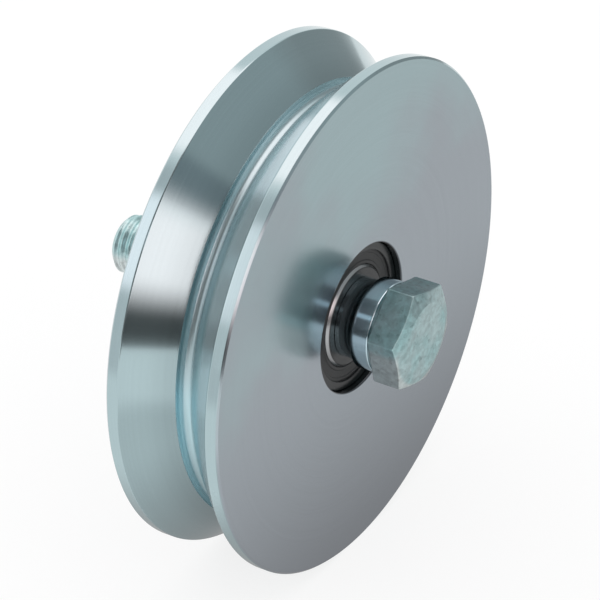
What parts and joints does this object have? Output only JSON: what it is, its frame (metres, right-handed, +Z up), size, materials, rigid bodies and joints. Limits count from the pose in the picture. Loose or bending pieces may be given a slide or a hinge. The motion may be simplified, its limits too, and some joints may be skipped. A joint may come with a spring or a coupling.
{
  "type": "sliding gate wheel",
  "caption": "Turned steel wheel with a V groove for an angle rail, on sealed ball bearings, with stepped bushes, a hexagon axle bolt and a nut; it carries a sliding gate.",
  "frame": {"origin": "centre of the wheel: on the axle line, midway between the wheel's two faces", "axes": "+Y along the axle towards its free threaded end, with the bolt head at -Y; +Z up; the rail runs along X under the wheel"},
  "size_m": [0.12, 0.0797, 0.12],
  "materials": {
    "zinc_wheel": "turned steel, bright zinc plated with a blue passivation",
    "zinc_bolt": "forged steel, zinc plated, slightly mottled",
    "zinc_bush": "turned steel, bright zinc plated",
    "bearing_steel": "ground bearing steel",
    "cage_steel": "pressed sheet steel",
    "seal_rubber": "moulded black nitrile rubber"
  },
  "bodies": {
    "axle": {"axle_bolt": "zinc_bolt", "hex_nut": "zinc_bolt", "front_bush": "zinc_bush", "back_bush": "zinc_bush", "inner_spacer": "zinc_bush", "front_inner_ring": "bearing_steel", "back_inner_ring": "bearing_steel"},
    "wheel": {"wheel_body": "zinc_wheel", "front_outer_ring": "bearing_steel", "back_outer_ring": "bearing_steel", "front_outer_seal": "seal_rubber", "front_inner_seal": "seal_rubber", "back_outer_seal": "seal_rubber", "back_inner_seal": "seal_rubber"},
    "front_cage": {"front_balls": "bearing_steel", "front_cage_outer_half": "cage_steel", "front_cage_inner_half": "cage_steel", "front_cage_rivets": "cage_steel"},
    "back_cage": {"back_balls": "bearing_steel", "back_cage_outer_half": "cage_steel", "back_cage_inner_half": "cage_steel", "back_cage_rivets": "cage_steel"}
  },
  "joints": [
    {"name": "wheel_spin", "type": "hinge", "parent": "axle", "child": "wheel", "pos_m": [0, 0, 0], "axis": [0, 1, 0], "continuous": true},
    {"name": "front_cage_spin", "type": "hinge", "parent": "axle", "child": "front_cage", "pos_m": [0, -0.0076, 0], "axis": [0, 1, 0], "continuous": true},
    {"name": "back_cage_spin", "type": "hinge", "parent": "axle", "child": "back_cage", "pos_m": [0, 0.0076, 0], "axis": [0, 1, 0], "continuous": true}
  ],
  "couplings": [
    {"joint": "front_cage_spin", "follows": "wheel_spin", "ratio": 0.5916},
    {"joint": "back_cage_spin", "follows": "wheel_spin", "ratio": 0.5916}
  ]
}
